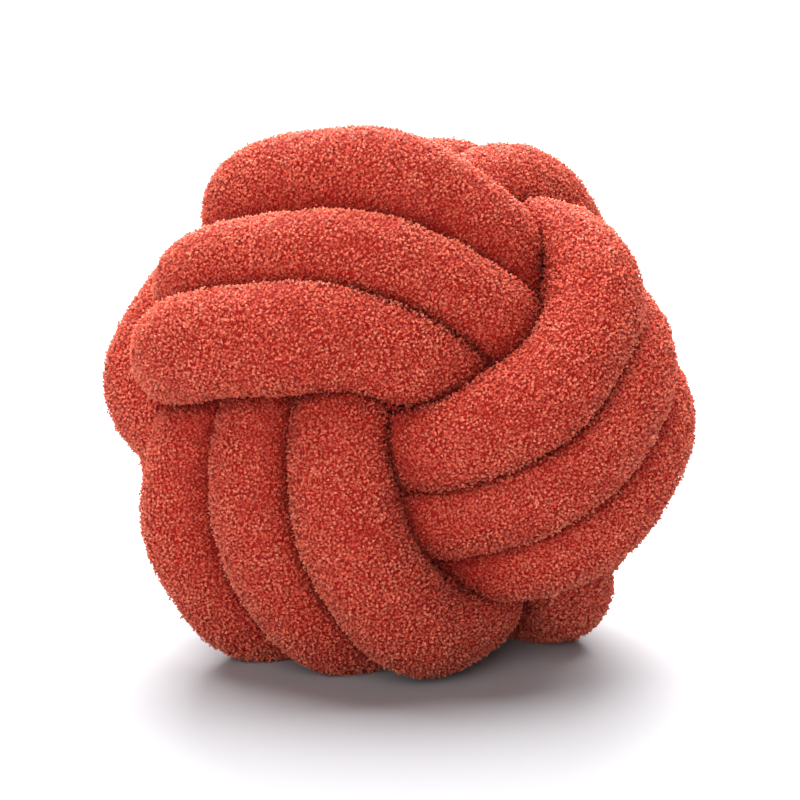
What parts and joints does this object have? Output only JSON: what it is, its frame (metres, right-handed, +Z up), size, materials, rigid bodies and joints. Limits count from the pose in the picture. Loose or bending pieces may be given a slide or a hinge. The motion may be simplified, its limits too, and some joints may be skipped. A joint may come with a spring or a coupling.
{
  "type": "knotted ball cushion",
  "caption": "Round cushion tied from one long stuffed tube of curly bouclé fleece, a ball knot of bands of parallel strands that pass over and under each other.",
  "frame": {"origin": "on the surface that the cushion rests on, under the middle of its box", "axes": "+Z up, +X to the right and -Y towards the corner of the knot where three faces meet"},
  "size_m": [0.3036, 0.2922, 0.2715],
  "materials": {
    "boucle_fleece": "matte curly pile, terracotta red"
  },
  "bodies": {
    "root": {"knotted_tube": "boucle_fleece"}
  },
  "joints": []
}
